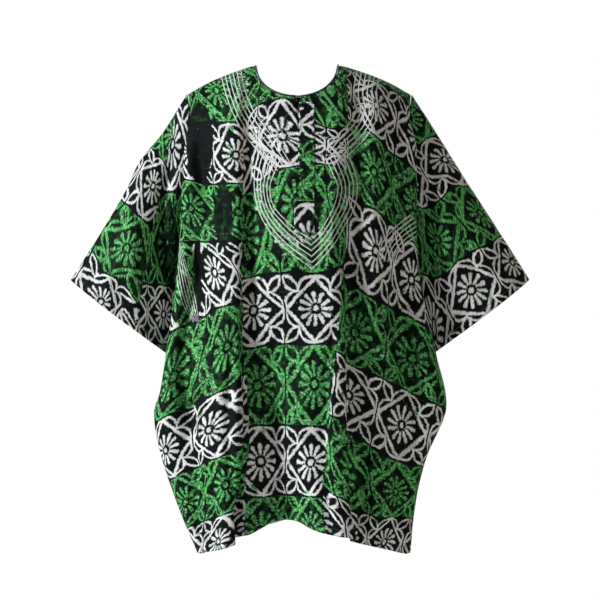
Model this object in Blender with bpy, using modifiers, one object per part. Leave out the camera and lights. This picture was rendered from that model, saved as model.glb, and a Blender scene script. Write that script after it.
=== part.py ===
"""Dashiki shirt, worn and hollow: a front, a back, two sleeves, a placket strip and a bound neck edge.

Metres, +Z up. The front faces -Y, so the wearer's left is at +X. The origin is between the two
points where the shoulder seams meet the neck, which is where the wearer's shoulders carry the shirt.
Every piece of cloth is a wall of even thickness under an outer surface. The surface is a smooth loft
through the fold lines of the tables below, and each fold line runs from the shoulder to the hem.
"""

import math
from collections import namedtuple

import bmesh
import bpy
from mathutils import Vector

# ---------------------------------------------------------------- driving sizes
WALL = 0.0013  # thickness of the cloth walls
SEAM_GAP = 0.0003  # between two pieces that are sewn together
SEAM_STRIP = 0.0030  # the shoulder seam's edges lie level for this width
NECK_X = -0.004  # the neck hole sits a little towards the wearer's right
NECK_HALF_WIDTH = 0.0767
NECK_DROP = {"front": 0.0545, "back": 0.0420}
NECK_ROUNDNESS = 2.3  # exponent of the neck hole's rounded U
SLIT_X = -0.0010
SLIT_WIDTH = {"top": 0.0070, "below": 0.0012}
SLIT_NOTCH_BOTTOM = -0.076
SLIT_BOTTOM = -0.180
SHOULDER_FOOT = -0.160  # the cloth has turned from the shoulder to the chest here
CHEST, HIP, HEM = -0.280, -0.620, -0.890  # heights at which the fold tables are stated
UNDERARM = -0.475
PLACKET_LEFT, PLACKET_RIGHT = 0.0012, 0.0275
PLACKET_TOP, PLACKET_BOTTOM = -0.0660, -0.3130
PLACKET_FOOT, PLACKET_FOOT_LEFT = -0.2580, -0.0083  # from this height down the strip is wider
PLACKET_STEP = 0.0030  # height in which it widens
PLACKET_THICKNESS = 0.0010
BINDING_RADIUS = 0.0014

# The shoulder seam seen from the front: height at each distance from the middle.
Shoulder = namedtuple("Shoulder", "x z")
SHOULDER = [
    Shoulder(0.000, 0.0000),
    Shoulder(0.077, 0.0000),
    Shoulder(0.115, -0.0105),
    Shoulder(0.153, -0.0250),
    Shoulder(0.185, -0.0405),
    Shoulder(0.209, -0.0550),
]

# Half widths of the shirt, seen from the front, at the wearer's right (-X) and left (+X).
Outline = namedtuple("Outline", "z right left")
OUTLINE = [
    Outline(-0.050, 0.193, 0.195),
    Outline(-0.100, 0.199, 0.202),
    Outline(-0.155, 0.209, 0.214),
    Outline(-0.360, 0.220, 0.217),
    Outline(-0.530, 0.242, 0.249),
    Outline(-0.600, 0.253, 0.266),
    Outline(-0.640, 0.264, 0.266),
    Outline(-0.720, 0.250, 0.232),
    Outline(-0.800, 0.223, 0.212),
    Outline(-0.895, 0.184, 0.202),
]

# The smooth figure under the folds: depth of the front and of the back at the middle.
Profile = namedtuple("Profile", "z front back")
PROFILE = [
    Profile(-0.160, 0.114, 0.098),
    Profile(-0.260, 0.130, 0.112),
    Profile(-0.450, 0.132, 0.106),
    Profile(-0.640, 0.134, 0.112),
    Profile(-0.900, 0.136, 0.122),
]

# The armhole seam, and below the underarm the side seam: how far it lies inside the outline,
# and how far in front of the middle (the back's seam mirrors it).
Seam = namedtuple("Seam", "z inset depth")
SEAM = [
    Seam(-0.050, -0.012, 0.000),
    Seam(-0.100, 0.000, 0.026),
    Seam(-0.160, 0.010, 0.032),
    Seam(-0.280, 0.014, 0.026),
    Seam(-0.380, 0.019, 0.014),
    Seam(UNDERARM, 0.022, 0.000),
    Seam(-0.640, 0.024, 0.000),
    Seam(-0.895, 0.014, 0.000),
]

# Fold lines from the wearer's right to the left: place across, and how far the cloth stands out
# from the smooth figure, at the chest, hip and hem, then the height of the hem on that line.
# Where a hem place steps back towards -X, the cloth doubles under itself.
Fold = namedtuple("Fold", "name chest_x chest_out hip_x hip_out hem_x hem_out hem_z")
EDGE_HEM_Z = -0.893
FRONT_FOLDS = [
    Fold("side_hollow", -0.170, -0.008, -0.208, -0.008, -0.166, -0.004, -0.888),
    Fold("side_rise", -0.146, 0.000, -0.172, 0.006, -0.149, 0.018, -0.882),
    Fold("right_crest", -0.124, 0.012, -0.130, 0.020, -0.132, 0.025, -0.876),
    Fold("right_edge", -0.108, 0.009, -0.108, 0.012, -0.114, 0.015, -0.869),
    Fold("right_tuck", -0.097, -0.008, -0.106, -0.012, -0.126, -0.012, -0.864),
    Fold("centre_hollow", -0.064, -0.004, -0.072, -0.015, -0.088, -0.024, -0.854),
    Fold("centre_right", -0.030, 0.004, -0.040, -0.006, -0.052, -0.022, -0.834),
    Fold("centre", 0.005, 0.006, -0.004, -0.002, -0.010, -0.014, -0.831),
    Fold("centre_left", 0.040, 0.008, 0.034, 0.008, 0.024, 0.002, -0.842),
    Fold("left_crest", 0.066, 0.013, 0.062, 0.018, 0.058, 0.018, -0.851),
    Fold("left_edge", 0.082, 0.008, 0.083, 0.014, 0.104, 0.016, -0.858),
    Fold("left_tuck", 0.092, -0.010, 0.084, -0.010, 0.092, -0.008, -0.864),
    Fold("left_plain", 0.134, 0.006, 0.132, -0.002, 0.128, -0.010, -0.875),
    Fold("left_hollow", 0.172, -0.010, 0.206, -0.010, 0.166, -0.006, -0.885),
]
BACK_FOLDS = [
    Fold("side_swell", -0.164, 0.004, -0.196, 0.006, -0.150, 0.010, -0.888),
    Fold("right_hollow", -0.128, -0.008, -0.142, -0.014, -0.120, -0.016, -0.880),
    Fold("right_swell", -0.086, 0.006, -0.094, 0.014, -0.088, 0.022, -0.872),
    Fold("inner_hollow", -0.042, -0.004, -0.048, -0.012, -0.050, -0.016, -0.858),
    Fold("middle", 0.002, 0.004, 0.000, 0.010, -0.004, 0.016, -0.850),
    Fold("left_inner", 0.044, -0.004, 0.050, -0.010, 0.046, -0.014, -0.860),
    Fold("left_swell", 0.088, 0.006, 0.100, 0.014, 0.092, 0.020, -0.874),
    Fold("left_hollow", 0.132, -0.008, 0.150, -0.012, 0.128, -0.012, -0.882),
    Fold("side_fall", 0.168, 0.004, 0.200, 0.006, 0.166, 0.008, -0.888),
]

# The sleeve's hem, as a loop from the underarm over the front and the top to the back. Along is the
# share of the way from the lower corner to the tip; depth is in front of the middle.
Cuff = namedtuple("Cuff", "name along depth")
CUFF = [
    Cuff("lower_corner", 0.00, 0.000),
    Cuff("front_low", 0.18, 0.024),
    Cuff("front_mid", 0.50, 0.048),
    Cuff("front_top", 0.82, 0.040),
    Cuff("tip", 1.00, 0.000),
    Cuff("back_top", 0.82, -0.044),
    Cuff("back_mid", 0.50, -0.050),
    Cuff("back_low", 0.18, -0.025),
]
# The cuff's two corners as (x, z), with x away from the middle.
CuffCorners = namedtuple("CuffCorners", "tip lower")
CUFF_CORNERS = {
    "right": CuffCorners((0.422, -0.396), (0.236, -0.538)),
    "left": CuffCorners((0.427, -0.395), (0.236, -0.541)),
}
SLEEVE_FULLNESS = 0.012  # how far the sleeve's walls swell between armhole and cuff

PRINT_COLOUR = (0.055, 0.160, 0.060)
GROUND_COLOUR = (0.010, 0.016, 0.016)

# ---------------------------------------------------------------- mesh fineness
COLUMNS_PER_FOLD = 3
SHOULDER_ROWS, CHEST_ROWS, SKIRT_ROWS = 8, 7, 10
SLEEVE_RINGS = 10


# ---------------------------------------------------------------- smooth curves
def smooth_through(points, t):
    """The point at t (0 at the first point, 1 at the second, and so on) of a smooth curve through points."""
    last = len(points) - 1
    i = max(0, min(int(t), last - 1))
    step = [max((points[k + 1] - points[k]).length, 1e-9) for k in range(last)]

    def slope(k):
        if k == 0:
            return (points[1] - points[0]) / step[0]
        if k == last:
            return (points[last] - points[last - 1]) / step[last - 1]
        before = (points[k] - points[k - 1]) / step[k - 1]
        after = (points[k + 1] - points[k]) / step[k]
        return (before * step[k] + after * step[k - 1]) / (step[k] + step[k - 1])

    u = t - i
    start, end = slope(i) * step[i], slope(i + 1) * step[i]
    return (
        points[i] * (2 * u**3 - 3 * u**2 + 1)
        + start * (u**3 - 2 * u**2 + u)
        + points[i + 1] * (3 * u**2 - 2 * u**3)
        + end * (u**3 - u**2)
    )


def read(table, key, column, at):
    """The smooth value of a table's column at a place on its key column, held level past both ends."""
    rows = sorted(table, key=lambda row: getattr(row, key))
    keys = [getattr(row, key) for row in rows]
    values = [getattr(row, column) for row in rows]
    if at <= keys[0]:
        return values[0]
    if at >= keys[-1]:
        return values[-1]
    i = max(k for k in range(len(keys) - 1) if keys[k] <= at)

    def slope(k):
        low, high = max(k - 1, 0), min(k + 1, len(keys) - 1)
        return (values[high] - values[low]) / (keys[high] - keys[low])

    width = keys[i + 1] - keys[i]
    u = (at - keys[i]) / width
    return (
        values[i] * (2 * u**3 - 3 * u**2 + 1)
        + slope(i) * width * (u**3 - 2 * u**2 + u)
        + values[i + 1] * (3 * u**2 - 2 * u**3)
        + slope(i + 1) * width * (u**3 - u**2)
    )


def ease(u):
    """0 to 1 with level ends."""
    u = max(0.0, min(1.0, u))
    return u * u * (3 - 2 * u)


# ---------------------------------------------------------------- the draped body
def shoulder_height(x):
    return read(SHOULDER, "x", "z", abs(x - NECK_X * ease(1 - abs(x) / 0.2)))


def half_width(z, x):
    return read(OUTLINE, "z", "right" if x < 0 else "left", z)


def smooth_depth(face, x, z):
    """Distance of the smooth figure's front or back from the middle plane, without folds."""
    middle = read(PROFILE, "z", face, z)
    return middle * (1 - 0.50 * min(1.0, abs(x) / half_width(z, x)) ** 2.2)


def seam_point(side, z):
    """(across, depth) of the armhole or side seam at a height; side is -1 for the right, 1 for the left."""
    inset = read(SEAM, "z", "inset", z)
    depth = read(SEAM, "z", "depth", z) if z > UNDERARM else 0.0
    return Vector((side * (half_width(z, side) - inset), depth + SEAM_GAP / 2, 0))


def fold_point(fold, face, z):
    """(across, depth) of one fold line at a height."""
    if z > HIP:
        share, above, below = ease((CHEST - z) / (CHEST - HIP)), "chest", "hip"
    else:
        share, above, below = ease((HIP - z) / (HIP - HEM)), "hip", "hem"
    x = getattr(fold, above + "_x") * (1 - share) + getattr(fold, below + "_x") * share
    out = getattr(fold, above + "_out") * (1 - share) + getattr(fold, below + "_out") * share
    fade = ease((z - shoulder_height(x)) / (CHEST - shoulder_height(x)))
    return Vector((x, smooth_depth(face, x, z) + out * fade, 0))


def section(face, folds, z):
    """The control points of one level section, from the right seam round to the left seam."""
    points = [fold_point(fold, face, z) for fold in folds]
    for side in (-1, 1):
        edge = half_width(z, side)
        depth = smooth_depth(face, side * edge, z)
        turn = [
            Vector((side * (edge - 0.009), depth * 1.06, 0)),
            Vector((side * edge, depth * 0.82, 0)),
            seam_point(side, z),
        ]
        points = [*reversed(turn), *points] if side < 0 else [*points, *turn]
    return points


def hem_height(folds, s):
    """The height of the hem at place s across a panel."""
    heights = [EDGE_HEM_Z] * 3 + [fold.hem_z for fold in folds] + [EDGE_HEM_Z] * 3
    return smooth_through([Vector((k, h, 0)) for k, h in enumerate(heights)], s).y


def shoulder_point(face, folds, s, turn):
    """A point above the foot of the shoulder; turn is 0 on the shoulder seam and 1 at the foot."""
    angle = turn * math.pi / 2
    at_foot = smooth_through(section(face, folds, SHOULDER_FOOT), s)
    top = shoulder_height(smooth_through(section(face, folds, SHOULDER[-1].z), s).x)
    z = top + (SHOULDER_FOOT - top) * (1 - math.cos(angle))
    across = smooth_through(section(face, folds, z), s).x
    depth = SEAM_GAP / 2 + (at_foot.y - SEAM_GAP / 2) * math.sin(angle) ** 1.1
    return Vector((across, -depth if face == "front" else depth, z))


def drape_point(face, folds, s, z):
    """A point below the foot of the shoulder, at the height z."""
    level = smooth_through(section(face, folds, z), s)
    return Vector((level.x, -level.y if face == "front" else level.y, z))


def neck_height(face, x):
    """The height of the neck edge at x, inside the neck hole."""
    across = min(1.0, abs(x - NECK_X) / NECK_HALF_WIDTH)
    return -NECK_DROP[face] * (1 - across**NECK_ROUNDNESS) ** (1 / NECK_ROUNDNESS)


def halve(low, high, is_past):
    """The place between low and high from which is_past holds."""
    for _ in range(30):
        middle = (low + high) / 2
        if is_past(middle):
            high = middle
        else:
            low = middle
    return high


def panel_columns(face, folds):
    """(place s on the top edge, turn of the top edge, place s below the shoulder) for each grid column."""
    lines = len(folds) + 5
    count = lines * COLUMNS_PER_FOLD
    edges = []
    for side in (-1, 1):
        x = NECK_X + side * NECK_HALF_WIDTH
        edges.append(halve(0, lines, lambda s: shoulder_point(face, folds, s, 0).x > x))
    first, last = (round(edge * COLUMNS_PER_FOLD) for edge in edges)
    last += (last - first) % 2
    columns = []
    for k in range(count + 1):
        below = k / COLUMNS_PER_FOLD
        if k <= first:
            columns.append((edges[0] * k / first, 0.0, below))
        elif k >= last:
            columns.append((edges[1] + (lines - edges[1]) * (k - last) / (count - last), 0.0, below))
        else:
            share = (k - first) / (last - first)
            cosine = math.cos(math.pi * share - 0.3 * math.sin(2 * math.pi * share))
            x = NECK_X - NECK_HALF_WIDTH * math.copysign(abs(cosine) ** 0.92, cosine)
            s = halve(0, lines, lambda s: shoulder_point(face, folds, s, 0.5).x > x)
            turn = halve(0, 1, lambda t: shoulder_point(face, folds, s, t).z < neck_height(face, x))
            columns.append((s, turn, below))
    return columns


def drape_heights(hem):
    """Heights of the grid rows from the foot of the shoulder to the hem, with one row at the underarm."""
    chest = [SHOULDER_FOOT + (UNDERARM - SHOULDER_FOOT) * r / CHEST_ROWS for r in range(1, CHEST_ROWS + 1)]
    return chest + [UNDERARM + (hem - UNDERARM) * r / SKIRT_ROWS for r in range(1, SKIRT_ROWS + 1)]


def panel_grid(face, folds):
    """Columns of points of a panel, each from the neck or shoulder edge down to the hem."""
    grid = []
    for top_s, top_turn, below in panel_columns(face, folds):
        column = []
        for r in range(SHOULDER_ROWS + 1):
            share = r / SHOULDER_ROWS
            s = top_s + (below - top_s) * ease(share)
            column.append(shoulder_point(face, folds, s, top_turn + (1 - top_turn) * share))
        strip = column[0].lerp(column[1], SEAM_STRIP / (column[1] - column[0]).length)
        if top_turn == 0:
            strip.z = column[0].z
        column.insert(1, strip)
        column += [drape_point(face, folds, below, z) for z in drape_heights(hem_height(folds, below))]
        grid.append(column)
    return grid


# ---------------------------------------------------------------- the sleeves
def armhole_ring(side, front_grid, back_grid):
    """(point, place around) along the armhole, a seam's gap outside the panels, and wider over the shoulder,
    where the walls meet at a corner. The place is 0 at the underarm, 0.5 on the shoulder and 1 at the underarm."""
    column = 0 if side < 0 else -1
    rows = 1 + SHOULDER_ROWS + CHEST_ROWS
    front, back = [], []
    for edge, outside in ((front_grid[column], front), (back_grid[column], back)):
        for point in edge[: rows + 1]:
            room = SEAM_GAP + 1.5 * WALL * ease((point.z - SHOULDER_FOOT) / (SEAM[0].z - SHOULDER_FOOT))
            outside.append(point + Vector((side * room, -math.copysign(SEAM_GAP, point.y), 0)))
    front.reverse()
    front[0] = (front[0] + back[-1]) / 2
    front[-1] = (front[-1] + back[0]) / 2
    ring = []
    for start, half in ((0.0, front), (0.5, [front[-1], *back[1:-1], front[0]])):
        lengths = [(b - a).length for a, b in zip(half, half[1:])]
        done = 0.0
        for point, length in zip(half, lengths):
            ring.append((point, start + 0.5 * done / sum(lengths)))
            done += length
    return ring


def cuff_point(side, around):
    """A point of the sleeve's hem at the same place around as on the armhole."""
    corners = CUFF_CORNERS["right" if side < 0 else "left"]
    loop = [Vector((row.along, row.depth, 0)) for row in CUFF]
    place = smooth_through([loop[-1], *loop, *loop[:2]], 1 + around * len(loop))
    x = corners.lower[0] + (corners.tip[0] - corners.lower[0]) * place.x
    z = corners.lower[1] + (corners.tip[1] - corners.lower[1]) * place.x
    return Vector((side * x, -place.y, z))


def sleeve_grid(side, front_grid, back_grid):
    """Columns of points of a sleeve, each from the armhole to the cuff."""
    grid = []
    for start, around in armhole_ring(side, front_grid, back_grid):
        end = cuff_point(side, around)
        column = []
        for r in range(SLEEVE_RINGS + 1):
            along = r / SLEEVE_RINGS
            swell = SLEEVE_FULLNESS * math.sin(math.pi * along) ** 2 * math.sin(2 * math.pi * around)
            column.append(start.lerp(end, along) - Vector((0, swell, 0)))
        grid.append(column)
    return grid


# ---------------------------------------------------------------- the placket and the neck binding
def open_slit(grid):
    """Splits the front's middle column in two down to the foot of the slit. Returns the column's place
    and its second copy, which holds only the rows of the slit."""
    middle = min(range(len(grid)), key=lambda k: abs(grid[k][0].x - SLIT_X))
    second = []
    for r, point in enumerate(grid[middle]):
        if point.z < SLIT_BOTTOM:
            break
        notch = ease((point.z - SLIT_NOTCH_BOTTOM) / (grid[middle][0].z - SLIT_NOTCH_BOTTOM))
        half = (SLIT_WIDTH["below"] + (SLIT_WIDTH["top"] - SLIT_WIDTH["below"]) * notch) / 2
        grid[middle][r] = Vector((SLIT_X - half, point.y, point.z))
        second.append(Vector((SLIT_X + half, point.y, point.z)))
    return middle, second


def point_on_grid(grid, x, z):
    """The point of a panel's faceted surface at x and z, with the direction that it faces."""
    for left, right in zip(grid, grid[1:]):
        for r in range(len(left) - 1):
            low, high = left[r + 1].z, left[r].z
            if not low < z <= high:
                continue
            share = (high - z) / (high - low)
            a, b = left[r].lerp(left[r + 1], share), right[r].lerp(right[r + 1], share)
            if a.x <= x <= b.x:
                facing = (right[r] - left[r]).cross(left[r] - left[r + 1]).normalized()
                return a.lerp(b, (x - a.x) / (b.x - a.x)), facing
    raise ValueError(f"no panel at {x}, {z}")


def placket_grid(front_grid):
    """Columns of points of the placket strip's outer face, which lies on the front beside the slit."""
    middle = min(range(len(front_grid)), key=lambda k: abs(front_grid[k][0].x - SLIT_X))
    stated = [PLACKET_TOP, PLACKET_FOOT + PLACKET_STEP, PLACKET_FOOT, PLACKET_BOTTOM]
    heights = [p.z for p in front_grid[middle + 1] if PLACKET_BOTTOM < p.z < PLACKET_TOP]
    heights = [z for z in heights if min(abs(z - level) for level in stated) > 0.004]
    grid = []
    for k in range(5):
        column = []
        for z in sorted(stated + heights, reverse=True):
            left = PLACKET_LEFT if z > PLACKET_FOOT else PLACKET_FOOT_LEFT
            point, facing = point_on_grid(front_grid, left + (PLACKET_RIGHT - left) * k / 4, z)
            column.append(point + facing * (PLACKET_THICKNESS + 2 * SEAM_GAP))
        grid.append(column)
    return grid


def neck_edge(grid, cloth):
    """(point, facing of the cloth) along the neck hole of a panel, from the wearer's right to the left."""
    edge = []
    for k, column in enumerate(grid):
        if abs(column[0].x - NECK_X) < NECK_HALF_WIDTH + 1e-5:
            edge.append((column[0], cloth.data.vertices[k * len(column)].normal.copy()))
    return edge


def neck_line(front_grid, front_cloth, slit_top, back_grid, back_cloth):
    """The binding's middle line, from the slit's left side round the back of the neck to its right side."""
    front = neck_edge(front_grid, front_cloth)
    middle = min(range(len(front)), key=lambda k: abs(front[k][0].x - SLIT_X))
    behind = neck_edge(back_grid, back_cloth)
    loop = [(slit_top, front[middle][1]), *front[middle + 1 :], *behind[-2:0:-1], *front[: middle + 1]]
    line = []
    for k, (point, facing) in enumerate(loop):
        before, after = loop[max(k - 1, 0)][0], loop[min(k + 1, len(loop) - 1)][0]
        into_hole = (after - before).cross(facing).normalized()
        if into_hole.dot(Vector((NECK_X, 0, 0)) - point) < 0:
            into_hole.negate()
        line.append(point + into_hole * (2 * SEAM_GAP + BINDING_RADIUS) - facing * WALL / 2)
    return line


# ---------------------------------------------------------------- making objects
def fabric(name, colour, roughness):
    material = bpy.data.materials.new(name)
    material.use_nodes = True
    shader = material.node_tree.nodes["Principled BSDF"]
    shader.inputs["Base Color"].default_value = (*colour, 1)
    shader.inputs["Roughness"].default_value = roughness
    shader.inputs["Metallic"].default_value = 0.0
    return material


def cloth_wall(name, grid, material, reverse=False, thickness=WALL, closed=False, slit=None):
    """A wall of cloth under a grid of outer points. The points face out when the columns run to the right as
    seen from outside, and reverse says that they run to the left. A closed grid joins its last column to its
    first; slit is an opened column, as open_slit gives it."""
    mesh = bpy.data.meshes.new(name)
    shape = bmesh.new()
    verts = [[shape.verts.new(point) for point in column] for column in grid]
    pairs = list(zip(verts, verts[1:]))
    if slit:
        middle, second = slit
        right_side = [shape.verts.new(point) for point in second] + verts[middle][len(second) :]
        pairs[middle] = (right_side, verts[middle + 1])
    if closed:
        pairs.append((verts[-1], verts[0]))
    for left, right in pairs:
        for r in range(len(left) - 1):
            shape.faces.new((left[r], left[r + 1], right[r + 1], right[r]))
    if reverse:
        bmesh.ops.reverse_faces(shape, faces=shape.faces)
    shape.to_mesh(mesh)
    shape.free()
    mesh.materials.append(material)
    mesh.shade_smooth()
    cloth = bpy.data.objects.new(name, mesh)
    wall = cloth.modifiers.new("wall", "SOLIDIFY")
    wall.thickness = thickness
    wall.offset = -1
    return cloth


def binding_tube(name, line, material):
    curve = bpy.data.curves.new(name, "CURVE")
    curve.dimensions = "3D"
    curve.bevel_depth = BINDING_RADIUS
    curve.bevel_resolution = 2
    curve.use_fill_caps = True
    spline = curve.splines.new("POLY")
    spline.points.add(len(line) - 1)
    for place, point in zip(spline.points, line):
        place.co = (*point, 1)
    curve.materials.append(material)
    return bpy.data.objects.new(name, curve)


def remove_old_objects():
    for old in list(bpy.data.objects):
        bpy.data.objects.remove(old)


def main():
    remove_old_objects()
    collection = bpy.data.collections.new("dashiki_shirt")
    bpy.context.scene.collection.children.link(collection)
    printed = fabric("printed_cotton", PRINT_COLOUR, 0.85)
    plain = fabric("ground_cotton", GROUND_COLOUR, 0.85)

    front = panel_grid("front", FRONT_FOLDS)
    back = panel_grid("back", BACK_FOLDS)
    slit = open_slit(front)
    front_cloth = cloth_wall("front_panel", front, printed, slit=slit)
    back_cloth = cloth_wall("back_panel", back, printed, reverse=True)
    pieces = [
        front_cloth,
        back_cloth,
        cloth_wall("sleeve_right", sleeve_grid(-1, front, back), printed, reverse=True, closed=True),
        cloth_wall("sleeve_left", sleeve_grid(1, front, back), printed, closed=True),
        cloth_wall("placket", placket_grid(front), printed, thickness=PLACKET_THICKNESS),
        binding_tube("neck_binding", neck_line(front, front_cloth, slit[1][0], back, back_cloth), plain),
    ]
    for piece in pieces:
        collection.objects.link(piece)


main()
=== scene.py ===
"""Dashiki shirt in wax-printed cotton: front, back, two sleeves, placket strip and bound neck edge."""

import math
from collections import namedtuple

import bpy
import numpy as np
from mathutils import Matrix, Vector, noise


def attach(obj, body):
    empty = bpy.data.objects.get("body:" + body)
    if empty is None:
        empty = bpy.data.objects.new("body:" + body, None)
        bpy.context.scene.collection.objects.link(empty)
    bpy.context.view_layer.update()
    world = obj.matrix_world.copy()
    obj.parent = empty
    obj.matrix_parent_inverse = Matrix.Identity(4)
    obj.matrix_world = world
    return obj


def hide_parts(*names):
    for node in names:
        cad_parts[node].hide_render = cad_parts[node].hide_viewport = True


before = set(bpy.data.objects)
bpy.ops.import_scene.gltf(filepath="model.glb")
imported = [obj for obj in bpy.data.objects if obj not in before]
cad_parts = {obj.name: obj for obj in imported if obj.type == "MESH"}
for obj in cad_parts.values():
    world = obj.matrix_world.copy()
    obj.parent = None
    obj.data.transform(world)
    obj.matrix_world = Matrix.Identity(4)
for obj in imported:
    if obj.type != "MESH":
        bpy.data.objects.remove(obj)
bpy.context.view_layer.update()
for thing in bpy.context.selected_objects:
    thing.select_set(False)

# ---------------------------------------------------------------- front panel
# The front is one cut of light plain-weave cotton, wax-printed in rows of white and green tiles. It is sewn
# to the back at the shoulders and sides, to the sleeves at the armholes, and turned up 12 mm at the hem.
RIGHT, LEFT = -1, 1  # the wearer's
CLOTH = 0.0007  # thickness of the cotton with its wax finish
SEAM_GAP = 0.0003  # between two pieces that are sewn together
NECK_X = -0.004  # middle of the neck
NECK_SHIFT_REACH = 0.2  # this far out along the shoulders, that shift has died away
NECK_HALF_WIDTH = 0.0767
NECK_DROP = {"front": 0.0665, "back": 0.0500}
NECK_ROUNDNESS = 2.1  # an ellipse has 2
NECK_CROWDING = (0.3, 0.92)  # gathers the columns where the neck's edge is steep: a wave and a power
SLIT_X = -0.0010
SLIT_TOP_WIDTH, SLIT_WIDTH = 0.0110, 0.0012
SLIT_NOTCH_BOTTOM, SLIT_BOTTOM = -0.086, -0.191
SLIT_PULL = 0.020  # how far beside the slit the cloth gives way to it
SHOULDER_FOOT = -0.160  # the cloth has turned from the shoulder to the chest here
SHOULDER_ROUNDNESS = 1.1  # of that turn, where an ellipse has 1
CHEST, HIP, HEM = -0.280, -0.620, -0.890  # heights at which the fold tables are stated
UNDERARM = -0.475
SIDE_HEM = -0.893  # height of the hem at the side seams
HEM_FOLD = 0.012
SIDE_LOSS, SIDE_ROUNDNESS = 0.50, 2.2  # the figure's loss of depth at its sides, as a share and a power
TURN_INSET = 0.009  # width over which the cloth turns round the side
TURN_DEPTH, EDGE_DEPTH = 1.06, 0.82  # shares of the figure's depth where that turn starts and ends

Shoulder = namedtuple("Shoulder", "x z")
SHOULDER = [
    Shoulder(0.000, 0.0000),
    Shoulder(0.077, 0.0000),
    Shoulder(0.115, -0.0105),
    Shoulder(0.153, -0.0250),
    Shoulder(0.185, -0.0405),
    Shoulder(0.209, -0.0550),
]
Outline = namedtuple("Outline", "z right left")  # half widths at the wearer's right and left
OUTLINE = [
    Outline(-0.050, 0.193, 0.195),
    Outline(-0.100, 0.199, 0.202),
    Outline(-0.155, 0.209, 0.214),
    Outline(-0.360, 0.220, 0.217),
    Outline(-0.530, 0.242, 0.249),
    Outline(-0.600, 0.253, 0.266),
    Outline(-0.640, 0.264, 0.266),
    Outline(-0.720, 0.250, 0.232),
    Outline(-0.800, 0.223, 0.212),
    Outline(-0.895, 0.184, 0.202),
]
Profile = namedtuple("Profile", "z front back")  # depth of the smooth figure at the middle
PROFILE = [
    Profile(-0.160, 0.114, 0.098),
    Profile(-0.260, 0.130, 0.112),
    Profile(-0.450, 0.132, 0.106),
    Profile(-0.640, 0.134, 0.112),
    Profile(-0.900, 0.136, 0.122),
]
Seam = namedtuple("Seam", "z inset depth")  # the armhole seam, and below it the side seam
SEAM = [
    Seam(-0.050, -0.012, 0.000),
    Seam(-0.100, 0.000, 0.026),
    Seam(-0.160, 0.010, 0.032),
    Seam(-0.280, 0.014, 0.026),
    Seam(-0.380, 0.019, 0.014),
    Seam(UNDERARM, 0.022, 0.000),
    Seam(-0.640, 0.024, 0.000),
    Seam(-0.895, 0.014, 0.000),
]
# Fold lines from the wearer's right to the left: place across and how far the cloth stands out from the
# smooth figure, at the chest, hip and hem, then the height of the hem on that line.
Fold = namedtuple("Fold", "name chest_x chest_out hip_x hip_out hem_x hem_out hem_z")
FRONT_FOLDS = [
    Fold("side_hollow", -0.170, -0.008, -0.208, -0.008, -0.166, -0.004, -0.888),
    Fold("side_rise", -0.146, 0.000, -0.172, 0.006, -0.149, 0.018, -0.882),
    Fold("right_crest", -0.124, 0.012, -0.130, 0.020, -0.132, 0.025, -0.876),
    Fold("right_edge", -0.108, 0.009, -0.108, 0.012, -0.114, 0.015, -0.869),
    Fold("right_tuck", -0.097, -0.008, -0.106, -0.012, -0.126, -0.012, -0.864),
    Fold("centre_hollow", -0.064, -0.004, -0.072, -0.015, -0.088, -0.024, -0.854),
    Fold("centre_right", -0.030, 0.004, -0.040, -0.006, -0.052, -0.022, -0.834),
    Fold("centre", 0.005, 0.006, -0.004, -0.002, -0.010, -0.014, -0.831),
    Fold("centre_left", 0.040, 0.008, 0.034, 0.008, 0.024, 0.002, -0.842),
    Fold("left_crest", 0.066, 0.013, 0.062, 0.018, 0.058, 0.018, -0.851),
    Fold("left_edge", 0.082, 0.008, 0.083, 0.014, 0.104, 0.016, -0.858),
    Fold("left_tuck", 0.092, -0.010, 0.084, -0.010, 0.092, -0.008, -0.864),
    Fold("left_plain", 0.134, 0.006, 0.132, -0.002, 0.128, -0.010, -0.875),
    Fold("left_hollow", 0.172, -0.010, 0.206, -0.010, 0.166, -0.006, -0.885),
]
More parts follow.
